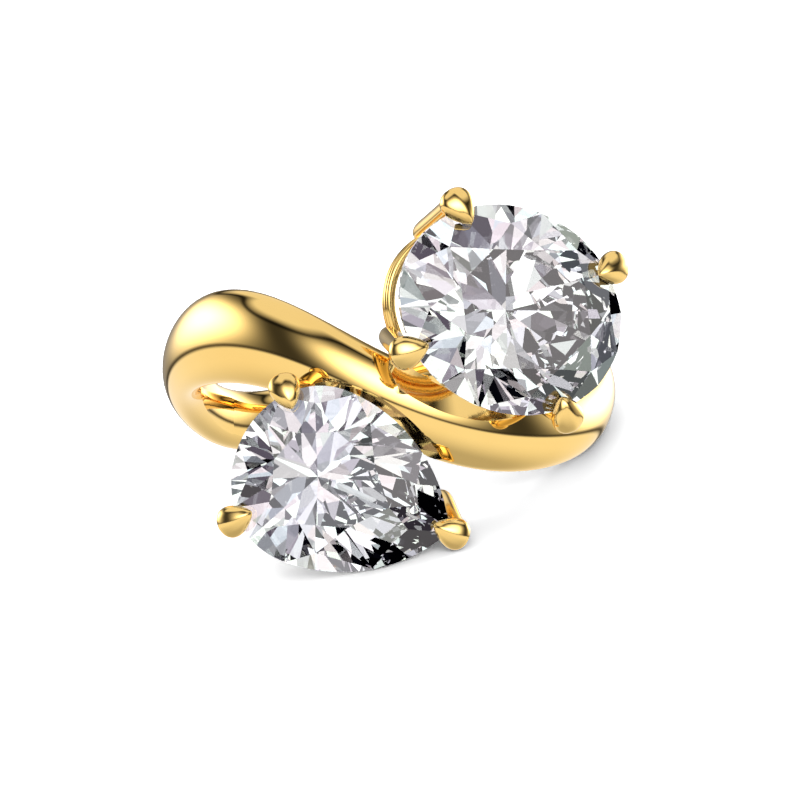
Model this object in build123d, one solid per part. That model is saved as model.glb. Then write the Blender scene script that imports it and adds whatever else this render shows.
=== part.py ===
from build123d import *
from math import atan2, cos, hypot, pi, radians, sin, sqrt
import os

# Toi et moi ring: a bypass band in yellow gold with an oval and a pear brilliant.
# Millimetres. The ring is drawn with its finger axis along Z and the stones towards -Y,
# then turned into the attitude in which it lies on a table.
finger_radius = 8.65
oval_half_length = 5.5
oval_half_width = 4.5
pear_tip_reach = 6.27
pear_back_reach = 3.73
pear_half_width = 4.0
pear_shoulder = -0.2
stone_gap_scale = 1.012
claw_radius = 0.64
claw_reach = 1.12
prong_radius = 0.46
rail_width = 0.46
rail_height = 0.6
rest_turn_x_deg = -15.005
rest_turn_y_deg = 14.295

# Position of each head: centre of the girdle, outward normal and long axis.
oval_centre = (5.366, -11.618, 3.577)
oval_normal = (0.419, -0.907, 0.0432)
oval_long_axis = (0.8564, 0.379, -0.3506)
pear_centre = (-3.113, -11.702, -3.753)
pear_normal = (0.0, -0.999, 0.0454)
pear_long_axis = (0.9225, -0.0175, -0.3855)

# Band sections round the finger, angle from the front towards the pear's side.
# angle_deg, lower edge, upper edge, outer radius
band_sections = (
    (0, -2.36, 1.64, 10.50),
    (20, -0.70, 3.20, 10.50),
    (45, 0.12, 4.39, 10.52),
    (68, -0.25, 3.66, 10.50),
    (90, -1.15, 1.90, 10.47),
    (112, -2.80, 0.10, 10.42),
    (138, -3.56, -0.82, 10.38),
    (160, -2.75, -0.10, 10.35),
    (180, -1.75, 0.75, 10.35),
    (200, -0.98, 1.58, 10.35),
    (222, -0.62, 2.00, 10.38),
    (248, -0.68, 2.06, 10.42),
    (270, -1.65, 1.15, 10.45),
    (292, -3.12, 0.10, 10.50),
    (315, -3.68, -0.15, 10.50),
    (340, -3.45, 0.25, 10.50),
)
inner_allowance = 0.15
edge_radius = 0.75
oval_pocket_grow = 0.1
oval_wall_depth = 3.3
oval_cone_depth = 5.4
oval_rail_share = 0.785
pear_wall_depth = 2.2
pear_cone_depth = 4.2


def head_plane(centre, normal, long_axis):
    return Plane(origin=centre, x_dir=long_axis, z_dir=normal)


oval_plane = head_plane(oval_centre, oval_normal, oval_long_axis)
pear_plane = head_plane(pear_centre, pear_normal, pear_long_axis)


def oval_edge(angle_deg):
    turn = radians(angle_deg)
    return (oval_half_length * cos(turn), oval_half_width * sin(turn))


def pear_edge(angle_deg):
    # Point of the girdle in the given direction, found by halving along the ray.
    turn = radians(angle_deg)
    near, far = 0.0, 8.0
    arc_rise = pear_tip_reach - pear_shoulder
    arc_radius = (arc_rise ** 2 + pear_half_width ** 2) / (2 * pear_half_width)
    back = pear_back_reach + pear_shoulder
    for _ in range(40):
        middle = (near + far) / 2
        along = middle * cos(turn) - pear_shoulder
        across = abs(middle * sin(turn))
        if along > 0:
            inside = hypot(along, across + arc_radius - pear_half_width) < arc_radius
        else:
            inside = hypot(along / back, across / pear_half_width) < 1
        near, far = (middle, far) if inside else (near, middle)
    return (near * cos(turn), near * sin(turn))


def plane_through(first, second, third):
    # Plane through three points whose normal leads away from the stone's axis.
    a, b, c = Vector(*first), Vector(*second), Vector(*third)
    normal = (b - a).cross(c - a).normalized()
    if normal.dot(a) < 0:
        normal = -normal
    return Plane(origin=a, z_dir=normal)


def height_on(plane, x, y):
    origin, normal = plane.origin, plane.z_dir
    return origin.Z - (normal.X * (x - origin.X) + normal.Y * (y - origin.Y)) / normal.Z


def brilliant(edge, mains, mids, outline, half_width, table_share, table_rise, depth):
    # edge gives a girdle point for an angle; mains and mids are the facet directions.
    girdle = 0.03 * half_width
    table = table_rise * half_width
    culet = -depth * half_width
    main_points = [edge(angle) for angle in mains]
    mid_points = [edge(angle) for angle in mids]
    count = len(mains)
    crown_mains = []
    pavilion_mains = []
    for index in range(count):
        x, y = main_points[index]
        before = mid_points[index - 1]
        after = mid_points[index]
        run = (after[0] - before[0], after[1] - before[1])
        corner = (x * table_share, y * table_share, table)
        crown_mains.append(plane_through(corner, (x, y, girdle), (x + run[0], y + run[1], girdle)))
        pavilion_mains.append(
            plane_through((0, 0, culet), (x, y, -girdle), (x + run[0], y + run[1], -girdle))
        )
    facets = list(crown_mains) + list(pavilion_mains)
    for index in range(count):
        following = (index + 1) % count
        x, y = mid_points[index]
        left, right = main_points[index], main_points[following]
        share = 0.815
        star = (x * share, y * share, 0)
        star_height = min(
            height_on(crown_mains[index], star[0], star[1]),
            height_on(crown_mains[following], star[0], star[1]),
        )
        star = (star[0], star[1], star_height)
        facets.append(
            plane_through(
                (left[0] * table_share, left[1] * table_share, table),
                (right[0] * table_share, right[1] * table_share, table),
                star,
            )
        )
        low = (x * 0.24, y * 0.24, 0)
        low_height = max(
            height_on(pavilion_mains[index], low[0], low[1]),
            height_on(pavilion_mains[following], low[0], low[1]),
        )
        low = (low[0], low[1], low_height)
        for side in (left, right):
            facets.append(plane_through(star, (side[0], side[1], girdle), (x, y, girdle)))
            facets.append(plane_through(low, (side[0], side[1], -girdle), (x, y, -girdle)))
    corners = [edge(angle) for angle in outline]
    blank = extrude(make_face(Polyline(*corners, close=True)), amount=table - culet)
    stone = Pos(0, 0, culet) * blank
    for plane in facets:
        stone = split(stone, bisect_by=plane, keep=Keep.BOTTOM)
    return stone.solids()[0]


oval_mains = [index * 45 for index in range(8)]
oval_mids = [index * 45 + 22.5 for index in range(8)]
oval_outline = [index * 5.625 for index in range(64)]
pear_mains = [0, 36, 88, 137, 180, 223, 272, 324]
pear_mids = [18.5, 68.5, 115, 155, 205, 245, 291.5, 341.5]
pear_angles = sorted(set([index * 6 for index in range(60)] + pear_mains + pear_mids))

oval_local = brilliant(
    oval_edge, oval_mains, oval_mids, oval_outline, oval_half_width, 0.607, 0.34, 0.86
)
pear_local = brilliant(
    pear_edge, pear_mains, pear_mids, pear_angles, pear_half_width, 0.545, 0.33, 0.86
)


def band_section(angle_deg, low, high, outer):
    # Section in the plane through the finger axis: flat inside, two round edges, one dome.
    turn = radians(angle_deg)
    outwards = (-sin(turn), -cos(turn))
    middle = (low + high) / 2
    half = (high - low) / 2
    inner = finger_radius - inner_allowance
    edge_at = inner + edge_radius
    edge_rise = half - edge_radius
    reach = outer - edge_radius
    dome_at = (reach ** 2 - edge_at ** 2 - edge_rise ** 2) / (2 * (reach - edge_at))
    dome_radius = outer - dome_at
    lean = atan2(edge_rise, edge_at - dome_at)

    def at(radius, height):
        return Vector(radius * outwards[0], radius * outwards[1], middle + height)

    def on_edge(angle, side):
        return at(edge_at + edge_radius * cos(angle), side * (edge_rise + edge_radius * sin(angle)))

    halfway = (pi + lean) / 2
    join_low = at(dome_at + dome_radius * cos(lean), -dome_radius * sin(lean))
    join_high = at(dome_at + dome_radius * cos(lean), dome_radius * sin(lean))
    low_edge = ThreePointArc(at(inner, -edge_rise), on_edge(halfway, -1), join_low)
    dome = ThreePointArc(join_low, at(outer, 0), join_high)
    high_edge = ThreePointArc(join_high, on_edge(halfway, 1), at(inner, edge_rise))
    inside = Line(at(inner, edge_rise), at(inner, -edge_rise))
    return Wire([low_edge, dome, high_edge, inside])


def claw(foot, top, inward):
    # Round prong from foot to top, with a drop-shaped head pointing over the crown.
    foot, top, inward = Vector(*foot), Vector(*top), Vector(*inward).normalized()
    length = (top - foot).length
    prong = Plane(origin=foot, z_dir=top - foot) * extrude(Circle(prong_radius), amount=length)
    touch = claw_radius * claw_radius / claw_reach
    rise = sqrt(claw_radius ** 2 - touch ** 2)
    profile = make_face(
        [
            ThreePointArc((0, -claw_radius), (claw_radius, 0), (rise, touch)),
            Line((rise, touch), (0.05, claw_reach)),
            Line((0.05, claw_reach), (0, claw_reach)),
            Line((0, claw_reach), (0, -claw_radius)),
        ]
    )
    drop = revolve(Plane.XZ * profile, axis=Axis.Z)
    head = Plane(origin=top, z_dir=inward) * drop
    return prong + head


def oval_ring(half_length, half_width, width, height, depth):
    outline = Ellipse(half_length + width / 2, half_width + width / 2)
    opening = Ellipse(half_length - width / 2, half_width - width / 2)
    return Pos(0, 0, -depth) * extrude(outline - opening, amount=height)


def pear_outline(share):
    # Outline of the pear with its tip rounded off.
    points = [pear_edge(angle) for angle in range(24, 337, 12)]
    points = [(x * share, y * share) for x, y in points]
    points.append((pear_tip_reach * share * 0.94, 0))
    return make_face(Spline(*points, periodic=True))


band_wires = [band_section(*row) for row in band_sections]
band = Solid.make_loft(band_wires + [band_wires[0]])

# Pockets that clear the stones: a straight wall, then a cone under the pavilion.
oval_wall = Ellipse(oval_half_length + oval_pocket_grow, oval_half_width + oval_pocket_grow)
oval_floor = Ellipse(oval_half_length * 0.4, oval_half_width * 0.4)
oval_pocket = extrude(Pos(0, 0, -oval_wall_depth) * oval_wall, amount=oval_wall_depth + 2)
oval_pocket += loft([Pos(0, 0, -oval_cone_depth) * oval_floor, Pos(0, 0, -oval_wall_depth) * oval_wall])
oval_pocket += Pos(-2.25, -3.2, -oval_wall_depth) * extrude(Circle(1.28), amount=oval_wall_depth + 2)
oval_pocket = Pos(-0.36, -0.28, 0) * oval_pocket

pear_wall = pear_outline(1.07)
pear_pocket = extrude(Pos(0, 0, -pear_wall_depth) * pear_wall, amount=pear_wall_depth + 2)
pear_pocket += loft([Pos(0, 0, -pear_cone_depth) * pear_outline(0.4), Pos(0, 0, -pear_wall_depth) * pear_wall])
pear_pocket = Pos(0.4, 0.05, 0) * pear_pocket

band = band - oval_plane * oval_pocket - pear_plane * pear_pocket

# Oval basket: four prongs at the diagonals and one oval rail.
oval_basket = oval_ring(
    oval_half_length * oval_rail_share, oval_half_width * oval_rail_share, rail_width, rail_height, 3.9
)
for side_x, side_y, reach in ((1, 1, 3.98), (-1, 1, 4.18), (-1, -1, 4.18), (1, -1, 3.98)):
    oval_basket += claw(
        (side_x * 3.42, side_y * 2.3, -4.35),
        (side_x * reach, side_y * 3.42, 0.36),
        (-side_x * 0.72, -side_y * 0.6, 0.42),
    )

# Pear basket: a prong at the tip and two at the shoulders, with a rail that joins the band.
pear_basket = Pos(0.1, 0.62, -3.1) * extrude(pear_outline(0.84) - pear_outline(0.70), amount=rail_height)
for foot, top, inward in (
    ((-1.75, 3.45, -3.2), (-2.84, 3.05, 0.34), (0.62, -0.68, 0.4)),
    ((-1.95, -1.75, -3.2), (-2.72, -3.18, 0.34), (0.6, 0.7, 0.4)),
    ((5.0, 1.0, -3.2), (6.52, 0.03, 0.30), (-0.95, 0.0, 0.3)),
):
    pear_basket += claw(foot, top, inward)

metal = band + oval_plane * oval_basket + pear_plane * pear_basket
metal -= Pos(0, 0, -20) * extrude(Circle(finger_radius), amount=40)
metal -= oval_plane * scale(oval_local, by=stone_gap_scale)
metal -= pear_plane * scale(pear_local, by=stone_gap_scale)

pieces = {
    "shank_and_settings": metal.solids()[0],
    "oval_stone": oval_plane * oval_local,
    "pear_stone": pear_plane * pear_local,
}
os.makedirs("parts", exist_ok=True)
turn = Rot(rest_turn_x_deg, 0, 0) * Rot(0, rest_turn_y_deg, 0)
turned = {name: turn * piece for name, piece in pieces.items()}
boxes = [piece.bounding_box() for piece in turned.values()]
low_x, high_x = min(box.min.X for box in boxes), max(box.max.X for box in boxes)
low_y, high_y = min(box.min.Y for box in boxes), max(box.max.Y for box in boxes)
move = Pos(-(low_x + high_x) / 2, -(low_y + high_y) / 2, -min(box.min.Z for box in boxes))
for name, piece in turned.items():
    placed = move * piece
    export_step(placed, "parts/" + name + ".step")
    print(name, round(placed.volume, 2), placed.bounding_box())
bore_axis = turn * Pos(0, 0, 1)
bore_centre = move * turn
print("finger hole axis", bore_axis.position, "centre", bore_centre.position)
print("solids in the metal", len(metal.solids()), "valid", metal.is_valid)
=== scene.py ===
import bpy
import numpy as np
from math import cos, pi, radians, sin
from mathutils import Matrix, Vector


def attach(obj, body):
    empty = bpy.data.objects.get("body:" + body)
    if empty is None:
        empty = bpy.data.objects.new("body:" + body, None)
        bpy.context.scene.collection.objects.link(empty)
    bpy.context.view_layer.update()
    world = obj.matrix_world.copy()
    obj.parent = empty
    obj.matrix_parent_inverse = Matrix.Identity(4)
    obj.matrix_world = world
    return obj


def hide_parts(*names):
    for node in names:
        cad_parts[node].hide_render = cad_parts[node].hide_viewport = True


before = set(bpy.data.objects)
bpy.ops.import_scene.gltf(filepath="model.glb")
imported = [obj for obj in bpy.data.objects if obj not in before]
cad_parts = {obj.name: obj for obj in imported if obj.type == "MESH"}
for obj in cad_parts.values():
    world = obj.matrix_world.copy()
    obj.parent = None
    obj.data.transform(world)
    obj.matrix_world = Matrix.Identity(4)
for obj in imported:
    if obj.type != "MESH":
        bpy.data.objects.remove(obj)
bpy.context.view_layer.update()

# Everything is modelled in millimetres with the finger axis along Z and the stones towards -Y,
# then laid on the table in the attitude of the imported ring.
millimetre = 0.001
ringPose = {
    "turnX": -15.005,
    "turnY": 14.295,
    "fingerCentre": (-0.729997, 2.08847, 4.09239),
    "fingerRadius": 8.65,
    "fingerSides": 360,
    "fingerDepth": 30,
}
leanX = Matrix.Rotation(radians(ringPose["turnX"]), 4, "X")
leanY = Matrix.Rotation(radians(ringPose["turnY"]), 4, "Y")
poseTurn = leanX @ leanY
ringToTable = Matrix.Scale(millimetre, 4) @ Matrix.Translation(ringPose["fingerCentre"]) @ poseTurn

ovalHead = {
    "centre": (5.366, -11.618, 3.577),
    "normal": (0.419, -0.907, 0.0432),
    "longAxis": (0.8564, 0.379, -0.3506),
    "halfLength": 5.5,
    "halfWidth": 4.5,
}
pearHead = {
    "centre": (-3.113, -11.702, -3.753),
    "normal": (0.0, -0.999, 0.0454),
    "longAxis": (0.9225, -0.0175, -0.3855),
    "tip": 6.27,
    "back": 3.73,
    "halfWidth": 4.0,
    "shoulder": -0.2,
}


def headMatrix(head):
    up = Vector(head["normal"]).normalized()
    along = Vector(head["longAxis"])
    along = (along - along.dot(up) * up).normalized()
    across = up.cross(along)
    turn = Matrix((along, across, up)).transposed().to_4x4()
    return Matrix.Translation(head["centre"]) @ turn


ovalMatrix = headMatrix(ovalHead)
pearMatrix = headMatrix(pearHead)


# The photo's camera, set by its turn from the ring
cameraView = {
    "distance": 231.0,
    "height": 2.6,
    "slideRight": 0.508,
    "slideUp": -0.90,
    "lens": 225.0,
    "sensorWidth": 36.0,
    "nearest": 0.01,
    "furthest": 20.0,
}


def viewAxes():
    height = radians(cameraView["height"])
    right = Vector((1, 0, 0))
    up = Vector((0, sin(height), cos(height)))
    toCamera = Vector((0, -cos(height), sin(height)))
    return [poseTurn.to_3x3() @ axis for axis in (right, up, toCamera)]


def makeCamera():
    right, up, toCamera = viewAxes()
    place = (
        Vector(ringPose["fingerCentre"])
        + toCamera * cameraView["distance"]
        + right * cameraView["slideRight"]
        + up * cameraView["slideUp"]
    )
    turn = Matrix((right, up, toCamera)).transposed()
    bpy.ops.object.camera_add(location=place * millimetre, rotation=turn.to_euler())
    camera = bpy.context.object
    camera.name = "photoCamera"
    camera.data.lens = cameraView["lens"]
    camera.data.sensor_width = cameraView["sensorWidth"]
    camera.data.clip_start = cameraView["nearest"]
    camera.data.clip_end = cameraView["furthest"]
    bpy.context.scene.camera = camera


makeCamera()
print("camera set")


# Small helpers for modelling
mergeDistance = 0.0005
smoothLevels = 2
smoothAngle = 34


def startEditing(piece):
    bpy.ops.object.select_all(action="DESELECT")
    piece.select_set(True)
    bpy.context.view_layer.objects.active = piece
    bpy.ops.object.mode_set(mode="EDIT")
    bpy.ops.mesh.select_mode(type="VERT")
    bpy.ops.mesh.select_all(action="DESELECT")
    bpy.ops.object.mode_set(mode="OBJECT")


def stopEditing():
    bpy.ops.object.mode_set(mode="OBJECT")


def pickVertices(piece, wanted):
    # Selects the vertices that wanted() says yes to and leaves the piece in edit mode.
    startEditing(piece)
    for vertex in piece.data.vertices:
        vertex.select = wanted(vertex.co)
    bpy.ops.object.mode_set(mode="EDIT")


def recalculate(piece):
    startEditing(piece)
    bpy.ops.object.mode_set(mode="EDIT")
    bpy.ops.mesh.select_all(action="SELECT")
    bpy.ops.mesh.remove_doubles(threshold=mergeDistance)
    bpy.ops.mesh.normals_make_consistent(inside=False)
    stopEditing()


def applyAll(piece):
    bpy.ops.object.select_all(action="DESELECT")
    piece.select_set(True)
    bpy.context.view_layer.objects.active = piece
    for modifier in list(piece.modifiers):
        bpy.ops.object.modifier_apply(modifier=modifier.name)


def subdivide(piece):
    smoothing = piece.modifiers.new("roundOff", "SUBSURF")
    smoothing.levels = smoothLevels
    smoothing.render_levels = smoothLevels
    applyAll(piece)


def cutAway(piece, cutter, keepCutter=False):
    carve = piece.modifiers.new("carve", "BOOLEAN")
    carve.operation = "DIFFERENCE"
    carve.solver = "EXACT"
    carve.object = cutter
    applyAll(piece)
    if not keepCutter:
        bpy.data.objects.remove(cutter, do_unlink=True)


def moveMesh(piece, matrix):
    piece.data.transform(matrix)
    piece.data.update()


def duplicate(piece, name):
    twin = piece.copy()
    twin.data = piece.data.copy()
    twin.name = name
    bpy.context.collection.objects.link(twin)
    return twin


def joinPieces(pieces, name):
    bpy.ops.object.select_all(action="DESELECT")
    for piece in pieces:
        piece.select_set(True)
    bpy.context.view_layer.objects.active = pieces[0]
    bpy.ops.object.join()
    joined = bpy.context.object
    joined.name = name
    joined.data.name = name
    return joined


def fingerCutter(gap=0.0):
    radius = ringPose["fingerRadius"] + gap
    sides, depth = ringPose["fingerSides"], ringPose["fingerDepth"]
    bpy.ops.object.select_all(action="DESELECT")
    bpy.ops.mesh.primitive_cylinder_add(vertices=sides, radius=radius, depth=depth)
    return bpy.context.object


def turnedProfile(name, rows, sides):
    # Extrudes a disc along Z through rows of (height, radius).
    bpy.ops.object.select_all(action="DESELECT")
    bpy.ops.mesh.primitive_circle_add(vertices=sides, radius=rows[0][1], fill_type="NGON")
    piece = bpy.context.object
    piece.name = name
    bpy.ops.object.mode_set(mode="EDIT")
    bpy.ops.mesh.select_all(action="SELECT")
    bpy.ops.transform.translate(value=(0, 0, rows[0][0]))
    for (low, before), (high, after) in zip(rows, rows[1:]):
        bpy.ops.mesh.extrude_region_move(TRANSFORM_OT_translate={"value": (0, 0, high - low)})
        share = after / before
        bpy.ops.transform.resize(value=(share, share, 1), center_override=(0, 0, high))
    stopEditing()
    recalculate(piece)
    return piece


# The bypass band
band = {
    "pathRadius": 9.44,
    "tubeRadius": 1.06,
    "rings": 72,
    "sides": 20,
    "waves": 5,
    # angle from the front towards the pear's side, lower edge, upper edge, outer radius
    "stations": [
        (0, -2.36, 1.64, 10.50),
        (20, -0.70, 3.20, 10.50),
        (45, 0.12, 4.39, 10.52),
        (68, -0.25, 3.66, 10.50),
        (90, -1.15, 1.90, 10.47),
        (112, -2.80, 0.10, 10.42),
        (138, -3.53, -0.82, 10.38),
        (160, -2.71, -0.10, 10.35),
        (180, -1.75, 0.75, 10.35),
        (200, -0.98, 1.58, 10.35),
        (222, -0.62, 2.00, 10.38),
        (248, -0.68, 2.06, 10.42),
        (270, -1.65, 1.15, 10.45),
        (292, -3.12, 0.10, 10.50),
        (315, -3.68, -0.15, 10.50),
        (340, -3.45, 0.25, 10.50),
    ],
}


def waveTerms(angles):
    columns = [np.ones_like(angles)]
    for order in range(1, band["waves"] + 1):
        columns += [np.cos(order * angles), np.sin(order * angles)]
    return np.stack(columns, axis=1)


def smoothStations():
    # Fits each column of the table with a few sine waves, so that the polish has no kinks.
    table = np.array(band["stations"], dtype=float)
    known = waveTerms(np.radians(table[:, 0]))
    turns = np.radians(np.arange(band["rings"]) * 360.0 / band["rings"])
    fits = [np.linalg.lstsq(known, table[:, column], rcond=None)[0] for column in (1, 2, 3)]
    return turns, [waveTerms(turns) @ fit for fit in fits]


def makeBand():
    sides, rings = band["sides"], band["rings"]
    swell = 3.0 / (2.0 + cos(2 * pi / sides))  # the subdivision draws the tube in by this much
    bpy.ops.object.select_all(action="DESELECT")
    bpy.ops.mesh.primitive_torus_add(
        major_segments=rings,
        minor_segments=sides,
        major_radius=band["pathRadius"],
        minor_radius=band["tubeRadius"],
    )
    shank = bpy.context.object
    shank.name = "bypassBand"
    turns, (lows, highs, outers) = smoothStations()
    mesh = shank.data
    for vertex in mesh.vertices:
        x, y, z = vertex.co
        turn = np.arctan2(-x, -y) % (2 * pi)
        ring = int(round(turn / (2 * pi) * rings)) % rings
        middle = (lows[ring] + highs[ring]) / 2
        half = (highs[ring] - lows[ring]) / 2
        reach = (x * x + y * y) ** 0.5
        deep = (outers[ring] - band["pathRadius"]) / band["tubeRadius"]
        wanted = band["pathRadius"] + (reach - band["pathRadius"]) * deep * swell
        height = middle + z / band["tubeRadius"] * half * swell
        vertex.co = (x * wanted / reach, y * wanted / reach, height)
    subdivide(shank)
    cutAway(shank, fingerCutter())
    return shank


# Pockets in the band that clear the stones
pockets = {
    "grow": 0.1,
    "ovalWall": 3.3,
    "ovalCone": 5.4,
    "ovalShift": (-0.36, -0.28, 0),
    "scoopPlace": (-2.25, -3.2, 0),
    "scoopRadius": 1.28,
    "pearWall": 2.2,
    "pearCone": 4.2,
    "pearShift": (0.4, 0.05, 0),
    "pearGrow": 1.07,
    "floorShare": 0.4,
    "above": 2.0,
    "sides": 120,
    "scoopSides": 64,
}


def pearOutline(angleDeg):
    turn = radians(angleDeg)
    near, far = 0.0, 8.0
    half, shoulder = pearHead["halfWidth"], pearHead["shoulder"]
    rise = pearHead["tip"] - shoulder
    arcRadius = (rise ** 2 + half ** 2) / (2 * half)
    back = pearHead["back"] + shoulder
    for _ in range(40):
        middle = (near + far) / 2
        along = middle * cos(turn) - shoulder
        across = abs(middle * sin(turn))
        if along > 0:
            inside = (along ** 2 + (across + arcRadius - half) ** 2) ** 0.5 < arcRadius
        else:
            inside = (along / back) ** 2 + (across / half) ** 2 < 1
        near, far = (middle, far) if inside else (near, middle)
    return near * cos(turn), near * sin(turn)


def ovalOutline(angleDeg):
    turn = radians(angleDeg)
    return ovalHead["halfLength"] * cos(turn), ovalHead["halfWidth"] * sin(turn)


def pocketCutter(name, outline, grow, wallDepth, coneDepth, shift):
    # A disc in the stone's outline, extruded down as a wall and then drawn in as a cone.
    sides, above = pockets["sides"], pockets["above"]
    bpy.ops.object.select_all(action="DESELECT")
    bpy.ops.mesh.primitive_circle_add(vertices=sides, radius=1, fill_type="NGON")
    cutter = bpy.context.object
    cutter.name = name
    for index, vertex in enumerate(cutter.data.vertices):
        x, y = outline(index * 360.0 / sides)
        vertex.co = (x * grow, y * grow, above)
    bpy.ops.object.mode_set(mode="EDIT")
    bpy.ops.mesh.select_all(action="SELECT")
    bpy.ops.mesh.extrude_region_move(TRANSFORM_OT_translate={"value": (0, 0, -wallDepth - above)})
    bpy.ops.mesh.extrude_region_move(TRANSFORM_OT_translate={"value": (0, 0, wallDepth - coneDepth)})
    share = pockets["floorShare"]
    bpy.ops.transform.resize(value=(share, share, 1), center_override=(0, 0, -coneDepth))
    stopEditing()
    recalculate(cutter)
    moveMesh(cutter, Matrix.Translation(shift))
    return cutter


def carvePockets(shank):
    grow = 1 + pockets["grow"] / ovalHead["halfWidth"]
    oval = pocketCutter(
        "ovalPocket", ovalOutline, grow, pockets["ovalWall"], pockets["ovalCone"], pockets["ovalShift"]
    )
    moveMesh(oval, ovalMatrix)
    cutAway(shank, oval)
    radius = pockets["scoopRadius"]
    scoopRows = [(-pockets["ovalWall"], radius), (pockets["above"], radius)]
    scoop = turnedProfile("scoop", scoopRows, pockets["scoopSides"])
    place = Vector(pockets["scoopPlace"]) + Vector(pockets["ovalShift"])
    moveMesh(scoop, ovalMatrix @ Matrix.Translation(place))
    cutAway(shank, scoop)
    pear = pocketCutter(
        "pearPocket",
        pearOutline,
        pockets["pearGrow"],
        pockets["pearWall"],
        pockets["pearCone"],
        pockets["pearShift"],
    )
    moveMesh(pear, pearMatrix)
    cutAway(shank, pear)


shank = makeBand()
carvePockets(shank)
print("band carved")


# The claws
claw = {
    # distance along the claw from the middle of its head, radius
    "headRows": [
        (-0.72, 0.14), (-0.66, 0.42), (-0.46, 0.66), (-0.18, 0.77), (0.12, 0.76),
        (0.42, 0.66), (0.72, 0.49), (0.99, 0.29), (1.15, 0.11), (1.19, 0.02),
    ],
    "headHeight": 0.96,
    "flatFrom": 0.34,
    "flatShare": 0.55,
    "headWidth": 1.08,
    "ridgeFrom": 0.25,
    "ridgeReach": 0.05,
    "ridgeLift": 0.05,
    "headSides": 16,
    # height above the foot, share of the prong's radius
    "footRows": [(0, 0.45), (0.08, 0.8), (0.26, 1)],
    # share of the prong's length, share of its radius
    "waistRows": [(0.35, 0.97), (0.7, 0.97)],
    # height above the prong's top, share of its radius
    "topRows": [(-0.1, 1), (0.15, 0.9)],
    "prongSides": 20,
    "fingerGap": 0.01,
    "stoneGap": 1.008,
}


def makeClawHead():
    head = turnedProfile("clawHead", claw["headRows"], claw["headSides"])
    startEditing(head)
    bpy.ops.object.mode_set(mode="EDIT")
    bpy.ops.mesh.select_all(action="SELECT")
    size = (claw["headHeight"], claw["headWidth"], 1)
    bpy.ops.transform.resize(value=size, center_override=(0, 0, 0))
    stopEditing()
    pickVertices(head, lambda place: place.x > claw["flatFrom"])
    share = claw["flatShare"]
    bpy.ops.transform.resize(value=(share, 1, 1), center_override=(claw["flatFrom"], 0, 0))
    stopEditing()
    pickVertices(head, lambda place: place.x > claw["ridgeFrom"] and abs(place.y) < claw["ridgeReach"])
    bpy.ops.transform.translate(value=(claw["ridgeLift"], 0, 0))
    stopEditing()
    subdivide(head)
    return head


def makeProng(length, radius):
    rows = [(height, radius * share) for height, share in claw["footRows"]]
    rows += [(length * along, radius * share) for along, share in claw["waistRows"]]
    rows += [(length + height, radius * share) for height, share in claw["topRows"]]
    prong = turnedProfile("prong", rows, claw["prongSides"])
    subdivide(prong)
    return prong


def aimed(direction, upHint, origin):
    # Matrix whose Z looks along direction and whose X stays close to upHint.
    forward = Vector(direction).normalized()
    top = Vector(upHint)
    top = (top - top.dot(forward) * forward).normalized()
    side = forward.cross(top)
    return Matrix.Translation(origin) @ Matrix((top, side, forward)).transposed().to_4x4()


def stoneCutter(node, matrix):
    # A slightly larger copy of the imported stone, for notching the claws.
    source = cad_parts[node]
    cutter = duplicate(source, node + "Room")
    cutter.parent = None
    cutter.matrix_world = Matrix.Identity(4)
    moveMesh(cutter, ringToTable.inverted())
    grow = Matrix.Scale(claw["stoneGap"], 4)
    moveMesh(cutter, matrix @ grow @ matrix.inverted())
    recalculate(cutter)
    return cutter


def trimForFinger(piece):
    cutAway(piece, fingerCutter(claw["fingerGap"]))


def placeClaws(rows, matrix, cutter, headSize):
    placed = []
    headModel = makeClawHead()
    for foot, top, inward, radius in rows:
        foot, top = Vector(foot), Vector(top)
        prong = makeProng((top - foot).length, radius)
        moveMesh(prong, matrix @ aimed(top - foot, (1, 0, 0), foot))
        head = duplicate(headModel, "clawHeadCopy")
        moveMesh(head, matrix @ aimed(inward, (0, 0, 1), top) @ Matrix.Scale(headSize, 4))
        trimForFinger(prong)
        for part in (prong, head):
            cutAway(part, cutter, keepCutter=True)
        placed += [prong, head]
    bpy.data.objects.remove(headModel, do_unlink=True)
    return placed


# The baskets that carry the stones
ovalBasket = {
    "headSize": 0.94,
    "railEnd": -2.5,
    "stopSize": 12,
    # share of the stone's outline, depth below the girdle, half width, half height
    "rails": [(0.785, 3.78, 0.25, 0.19), (0.80, 3.42, 0.25, 0.19), (0.815, 3.06, 0.22, 0.15)],
    "footX": 3.47,
    "footY": 2.38,
    "footZ": -4.02,
    "topZ": 0.36,
    "prongRadius": 0.52,
    "inward": (0.72, 0.6, 0.42),
    # side in x, side in y, how far out the claw stands in x and in y
    "corners": [(1, 1, 3.98, 3.42), (-1, 1, 4.18, 3.42), (-1, -1, 4.37, 3.57), (1, -1, 4.03, 3.57)],
}
pearBasket = {
    "headSize": 0.89,
    "railShare": 0.77,
    "railShift": (0.1, 0.62, -2.8),
    "railWidth": 0.25,
    "railHeight": 0.32,
    "railTip": 5.9,
    # foot of the prong, middle of the claw head, direction in which the claw points, prong's radius
    "claws": [
        ((-1.75, 3.45, -3.2), (-2.84, 3.05, 0.34), (0.62, -0.68, 0.4), 0.46),
        ((-1.95, -1.75, -3.2), (-2.70, -3.24, 0.34), (0.6, 0.7, 0.4), 0.46),
        ((5.35, 1.15, -3.2), (6.52, 0.04, 0.30), (-0.95, 0.0, 0.3), 0.6),
    ],
}


railShape = {"rings": 96, "sides": 12, "startRadius": 0.1}


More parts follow.
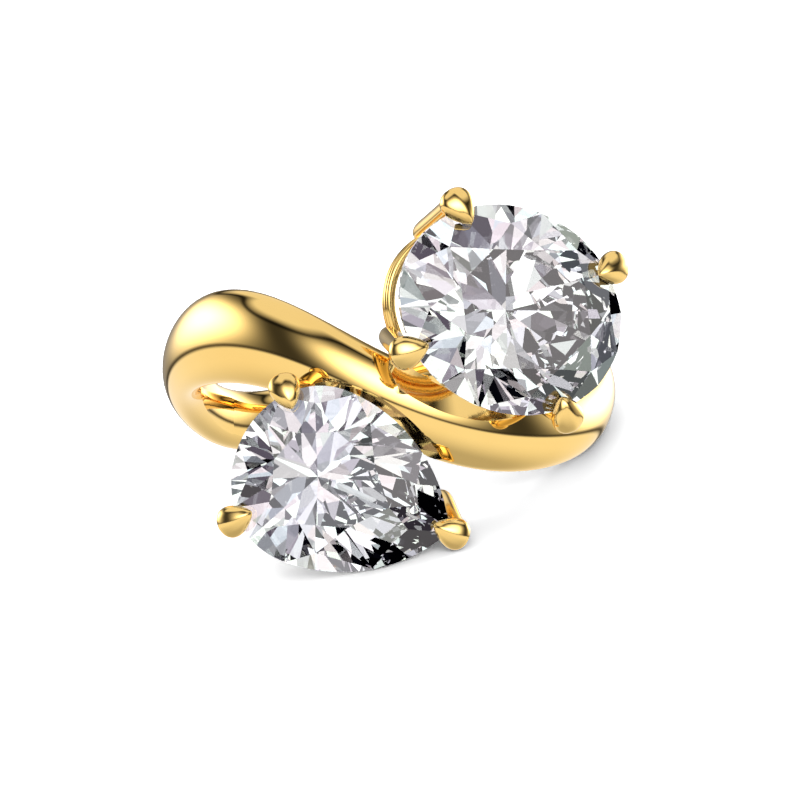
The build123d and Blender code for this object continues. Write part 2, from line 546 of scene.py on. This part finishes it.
def makeRail(name, outline, share, width, height, furthest=float("inf")):
    # A ring bent to the stone's outline, which is cut short where it reaches past furthest.
    grow = 1 / railShape["startRadius"]
    bpy.ops.object.select_all(action="DESELECT")
    bpy.ops.mesh.primitive_torus_add(
        major_segments=railShape["rings"],
        minor_segments=railShape["sides"],
        major_radius=1,
        minor_radius=railShape["startRadius"],
    )
    rail = bpy.context.object
    rail.name = name
    for vertex in rail.data.vertices:
        x, y, z = vertex.co
        turn = np.degrees(np.arctan2(y, x)) % 360
        outX, outY = outline(turn)
        reach = (x * x + y * y) ** 0.5
        far = (outX ** 2 + outY ** 2) ** 0.5
        wanted = min(far, furthest) * share + (reach - 1) * grow * width
        vertex.co = (x * wanted / reach, y * wanted / reach, z * grow * height)
    subdivide(rail)
    return rail


def railStop():
    # Block over the stretch where the rails run into the wall of the band's pocket.
    size = ovalBasket["stopSize"]
    bpy.ops.object.select_all(action="DESELECT")
    bpy.ops.mesh.primitive_cube_add(size=size, location=(0, ovalBasket["railEnd"] - size / 2, 0))
    return bpy.context.object


def ovalReach(angleDeg):
    # Point of the oval in the true direction of the angle, which ovalOutline doesn't give.
    turn = radians(angleDeg)
    a, b = ovalHead["halfLength"], ovalHead["halfWidth"]
    far = a * b / ((b * cos(turn)) ** 2 + (a * sin(turn)) ** 2) ** 0.5
    return far * cos(turn), far * sin(turn)


def makeOvalBasket():
    cutter = stoneCutter("oval_stone", ovalMatrix)
    inX, inY, inZ = ovalBasket["inward"]
    rows = []
    for sideX, sideY, topX, topY in ovalBasket["corners"]:
        foot = (sideX * ovalBasket["footX"], sideY * ovalBasket["footY"], ovalBasket["footZ"])
        top = (sideX * topX, sideY * topY, ovalBasket["topZ"])
        rows.append((foot, top, (-sideX * inX, -sideY * inY, inZ), ovalBasket["prongRadius"]))
    pieces = placeClaws(rows, ovalMatrix, cutter, ovalBasket["headSize"])
    for share, depth, width, height in ovalBasket["rails"]:
        rail = makeRail("ovalRail", ovalReach, share, width, height)
        moveMesh(rail, Matrix.Translation((0, 0, -depth)))
        cutAway(rail, railStop())
        moveMesh(rail, ovalMatrix)
        trimForFinger(rail)
        pieces.append(rail)
    bpy.data.objects.remove(cutter, do_unlink=True)
    return joinPieces(pieces, "ovalClawBasket")


def makePearBasket():
    cutter = stoneCutter("pear_stone", pearMatrix)
    pieces = placeClaws(pearBasket["claws"], pearMatrix, cutter, pearBasket["headSize"])
    rail = makeRail(
        "pearRail",
        pearOutline,
        pearBasket["railShare"],
        pearBasket["railWidth"],
        pearBasket["railHeight"],
        pearBasket["railTip"],
    )
    moveMesh(rail, pearMatrix @ Matrix.Translation(pearBasket["railShift"]))
    bpy.data.objects.remove(cutter, do_unlink=True)
    return joinPieces(pieces + [rail], "pearClawBasket")


ovalClaws = makeOvalBasket()
pearClaws = makePearBasket()
print("baskets made")


for piece in (shank, ovalClaws, pearClaws):
    recalculate(piece)
    moveMesh(piece, ringToTable)
    bpy.ops.object.select_all(action="DESELECT")
    piece.select_set(True)
    bpy.context.view_layer.objects.active = piece
    bpy.ops.object.shade_smooth_by_angle(angle=radians(smoothAngle))
    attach(piece, "root")
    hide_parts("shank_and_settings")
print("pieces laid on the table")


# Materials
class Socket:
    def __init__(self, tree, socket):
        self.tree = tree
        self.socket = socket

    def combine(self, operation, first, second):
        node = self.tree.nodes.new("ShaderNodeMath")
        node.operation = operation
        for slot, value in zip(node.inputs, (first, second)):
            if isinstance(value, Socket):
                self.tree.links.new(value.socket, slot)
            else:
                slot.default_value = value
        return Socket(self.tree, node.outputs[0])

    def __add__(self, other):
        return self.combine("ADD", self, other)

    def __radd__(self, other):
        return self.combine("ADD", other, self)

    def __sub__(self, other):
        return self.combine("SUBTRACT", self, other)

    def __rsub__(self, other):
        return self.combine("SUBTRACT", other, self)

    def __mul__(self, other):
        return self.combine("MULTIPLY", self, other)

    def __rmul__(self, other):
        return self.combine("MULTIPLY", other, self)

    def __pow__(self, other):
        return self.combine("POWER", self, other)


class Finish:
    def __init__(self, name, tree=None):
        if tree is None:
            self.material = bpy.data.materials.new(name)
            self.material.use_nodes = True
            tree = self.material.node_tree
        self.tree = tree
        self.tree.nodes.clear()

    def node(self, kind, settings=None, values=None):
        made = self.tree.nodes.new(kind)
        for name, value in (settings or {}).items():
            if name == "stops":
                ramp = made.color_ramp
                while len(ramp.elements) < len(value):
                    ramp.elements.new(0.5)
                for stop, (place, colour) in zip(ramp.elements, value):
                    stop.position = place
                    stop.color = colour
            else:
                setattr(made, name, value)
        for name, value in (values or {}).items():
            slot = made.inputs[name]
            if isinstance(value, Socket):
                self.tree.links.new(value.socket, slot)
            else:
                slot.default_value = value
        return made

    def out(self, node, name=0):
        return Socket(self.tree, node.outputs[name])

    def noise(self, scale, detail):
        place = self.node("ShaderNodeTexCoord")
        mapping = self.node("ShaderNodeMapping", values={"Vector": self.out(place, "Object")})
        texture = self.node(
            "ShaderNodeTexNoise",
            values={"Vector": self.out(mapping), "Scale": scale, "Detail": detail},
        )
        return self.out(texture, 0)

    def surface(self, shader):
        output = self.node("ShaderNodeOutputMaterial")
        self.tree.links.new(shader.outputs[0], output.inputs["Surface"])
        return self.material


goldLook = {
    "tones": [(0.3, (0.93, 0.615, 0.20, 1)), (0.7, (0.97, 0.67, 0.235, 1))],
    # scale and detail of each noise
    "cloud": (160, 3),
    "fine": (1400, 4),
    "bumpStrength": 0.012,
    "bumpDepth": 0.00005,
    # smoothest and roughest polish
    "bandPolish": (0.03, 0.065),
    "clawPolish": (0.10, 0.14),
}
diamondLook = {
    "tints": [(0.3, (0.985, 0.985, 1.0, 1)), (0.7, (1.0, 0.99, 0.985, 1))],
    "cloud": (240, 2),
    "index": 2.42,
}


def makeGold(name, smoothest, roughest):
    gold = Finish(name)
    cloud = gold.noise(*goldLook["cloud"])
    fine = gold.noise(*goldLook["fine"])
    tone = gold.node("ShaderNodeValToRGB", {"stops": goldLook["tones"]}, {"Fac": cloud})
    polish = smoothest + fine * (roughest - smoothest)
    bump = gold.node(
        "ShaderNodeBump",
        values={"Strength": goldLook["bumpStrength"], "Distance": goldLook["bumpDepth"], "Height": cloud},
    )
    shader = gold.node(
        "ShaderNodeBsdfPrincipled",
        values={
            "Base Color": gold.out(tone),
            "Metallic": 1.0,
            "Roughness": polish,
            "Normal": gold.out(bump),
        },
    )
    return gold.surface(shader)


def makeDiamond(name):
    diamond = Finish(name)
    cloud = diamond.noise(*diamondLook["cloud"])
    tint = diamond.node("ShaderNodeValToRGB", {"stops": diamondLook["tints"]}, {"Fac": cloud})
    shader = diamond.node(
        "ShaderNodeBsdfPrincipled",
        values={
            "Base Color": diamond.out(tint),
            "Roughness": 0.0,
            "IOR": diamondLook["index"],
            "Transmission Weight": 1.0,
        },
    )
    return diamond.surface(shader)


bandGold = makeGold("polishedYellowGold", *goldLook["bandPolish"])
clawGold = makeGold("softerYellowGold", *goldLook["clawPolish"])
for piece, gold in (
    (shank, bandGold),
    (ovalClaws, clawGold),
    (pearClaws, clawGold),
    (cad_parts["shank_and_settings"], bandGold),
):
    piece.data.materials.clear()
    piece.data.materials.append(gold)
for node, name in (("oval_stone", "ovalDiamond"), ("pear_stone", "pearDiamond")):
    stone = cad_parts[node]
    stone.data.materials.clear()
    stone.data.materials.append(makeDiamond(name))
print("finishes made")


# The studio
studio = {
    "floorSize": 3.0,
    "floorTone": (0.86, 0.86, 0.86, 1),
    "floorGrain": (0.88, 0.88, 0.88, 1),
    "floorLift": 2.2,
    "floorDrop": 0.00002,
    "floorNoise": (60, 2),
    "backdrop": 1.02,
    # three soft boxes stand round the ring with dark gaps between them
    "boxes": 3,
    "boxTurn": 9,
    "boxHeight": 14,
    "boxSpread": 17,
    "boxLevel": 4.5,
    "boxFall": 1.35,
    "gapLevel": 0.05,
    "ceilingLevel": 0.9,
    "rimHeight": 29,
    "rimRise": 24,
    "rimSoft": 16,
    "rimWidth": 5,
    "rimDark": 0.8,
    "behindLevel": 0.25,
    # edge() makes these two 0.80 and 0.98, and they are compared with a cosine
    "behindFrom": 46,
    "behindTo": 56,
    "tableLevel": 1.05,
    "tableLowLevel": 0.55,
    "tableLowHeight": -65,
    "tableHeight": -20,
    "lineHeight": -8.5,
    "lineWidth": 3.0,
    "lineDark": 0.88,
    "maxBounces": 32,
    "transmissionBounces": 32,
    "glossyBounces": 7,
}
sparkle = {
    "cells": 3.6,
    "tint": 0.18,
    "shades": [
        (0.0, (0.002, 0.002, 0.004, 1)),
        (0.34, (0.16, 0.16, 0.18, 1)),
        (0.385, (0.50, 0.49, 0.53, 1)),
        (0.45, (0.80, 0.79, 0.83, 1)),
        (0.54, (1.12, 1.11, 1.17, 1)),
        (0.645, (1.65, 1.65, 1.72, 1)),
    ],
}


def makeFloor():
    bpy.ops.object.select_all(action="DESELECT")
    bpy.ops.mesh.primitive_plane_add(size=studio["floorSize"], location=(0, 0, -studio["floorDrop"]))
    floor = bpy.context.object
    floor.name = "paleFloor"
    bpy.ops.object.transform_apply(location=True, rotation=True, scale=True)
    paint = Finish("paleFloor")
    grain = paint.noise(*studio["floorNoise"])
    tone = paint.node(
        "ShaderNodeValToRGB",
        {"stops": [(0.3, studio["floorTone"]), (0.7, studio["floorGrain"])]},
        {"Fac": grain},
    )
    lift = paint.node("ShaderNodeVectorMath", {"operation": "SCALE"}, {"Vector": paint.out(tone)})
    lift.inputs["Scale"].default_value = studio["floorLift"]
    shader = paint.node("ShaderNodeBsdfDiffuse", values={"Color": paint.out(lift)})
    # The gold and the stones look past the floor at the studio, as in a cut-out product picture.
    path = paint.node("ShaderNodeLightPath")
    mirrored = paint.out(path, "Is Glossy Ray")
    past = mirrored.combine("MAXIMUM", mirrored, paint.out(path, "Is Transmission Ray"))
    clear = paint.node("ShaderNodeBsdfTransparent")
    mixed = paint.node("ShaderNodeMixShader", values={"Fac": past})
    paint.tree.links.new(shader.outputs[0], mixed.inputs[1])
    paint.tree.links.new(clear.outputs[0], mixed.inputs[2])
    floor.data.materials.append(paint.surface(mixed))


def makeRoom():
    world = bpy.data.worlds.new("softRoom")
    bpy.context.scene.world = world
    world.use_nodes = True
    room = Finish("roomPaint", world.node_tree)
    place = room.node("ShaderNodeTexCoord")

    def along(axis):
        part = room.node(
            "ShaderNodeVectorMath",
            {"operation": "DOT_PRODUCT"},
            {0: room.out(place, "Generated"), 1: tuple(axis)},
        )
        return room.out(part, "Value")

    def edge(value, start, end):
        step = room.node(
            "ShaderNodeMapRange",
            {"interpolation_type": "SMOOTHSTEP"},
            {"Value": value, "From Min": radians(start), "From Max": radians(end)},
        )
        return room.out(step)

    def stripe(value, middle, width):
        return edge(value, middle - width, middle) * (1 - edge(value, middle, middle + width))

    def mixed(share, first, second):
        blend = room.node("ShaderNodeMix", {"data_type": "RGBA"}, {"Factor": share})
        for slot, value in ((blend.inputs[6], first), (blend.inputs[7], second)):
            if isinstance(value, Socket):
                room.tree.links.new(value.socket, slot)
            else:
                slot.default_value = value
        return room.out(blend, 2)

    across, upward, toward = [along(axis) for axis in viewAxes()]
    azimuth = across.combine("ARCTAN2", across, toward)
    elevation = upward.combine("ARCSINE", upward, 0.0)
    turned = (azimuth - radians(studio["boxTurn"])) * studio["boxes"]
    swell = (turned.combine("COSINE", turned, 0.0) * 0.5 + 0.5) ** studio["boxFall"]
    offset = (elevation - radians(studio["boxHeight"])) * (1 / radians(studio["boxSpread"]))
    fall = offset.combine("EXPONENT", offset * offset * -1.0, 0.0)
    level = swell * fall * studio["boxLevel"] + studio["gapLevel"]
    rim = elevation - swell * radians(studio["rimRise"]) - radians(studio["rimHeight"])
    level = level + edge(rim, 0, studio["rimSoft"]) * studio["ceilingLevel"]
    level = level * (1 - stripe(rim, 0, studio["rimWidth"]) * studio["rimDark"])
    behind = edge(toward * -1.0, studio["behindFrom"], studio["behindTo"])
    level = level + behind * studio["behindLevel"]
    low, high = studio["tableLowLevel"], studio["tableLevel"]
    table = edge(elevation, studio["tableLowHeight"], studio["tableHeight"]) * (high - low) + low
    line, width = studio["lineHeight"], studio["lineWidth"]
    level = level + (1 - edge(elevation, line - width / 2, line + width / 2)) * (table - level)
    level = level * (1 - stripe(elevation, line, width) * studio["lineDark"])

    path = room.node("ShaderNodeLightPath")
    cells = room.node(
        "ShaderNodeTexVoronoi",
        {"feature": "F1"},
        {"Vector": room.out(place, "Generated"), "Scale": sparkle["cells"]},
    )
    shades = room.node("ShaderNodeValToRGB", {"stops": sparkle["shades"]}, {"Fac": room.out(cells, "Color")})
    shades.color_ramp.interpolation = "CONSTANT"
    tinted = room.node(
        "ShaderNodeVectorMath", {"operation": "MULTIPLY"}, {0: room.out(shades), 1: room.out(cells, "Color")}
    )
    gleam = mixed(sparkle["tint"], room.out(shades), room.out(tinted))
    colour = mixed(room.out(path, "Is Singular Ray"), level, gleam)
    white = studio["backdrop"]
    colour = mixed(room.out(path, "Is Camera Ray"), colour, (white, white, white, 1))
    background = room.node("ShaderNodeBackground", values={"Color": colour, "Strength": 1.0})
    output = room.node("ShaderNodeOutputWorld")
    room.tree.links.new(background.outputs[0], output.inputs["Surface"])


makeFloor()
makeRoom()
bpy.context.scene.view_settings.view_transform = "Standard"
bpy.context.scene.cycles.max_bounces = studio["maxBounces"]
bpy.context.scene.cycles.transmission_bounces = studio["transmissionBounces"]
bpy.context.scene.cycles.glossy_bounces = studio["glossyBounces"]
# The stones don't see the gold, and stay clear of its colour.
for piece in (shank, ovalClaws, pearClaws):
    piece.visible_transmission = False
bpy.context.scene.cycles.caustics_reflective = False
bpy.context.scene.cycles.caustics_refractive = False
print("studio set")
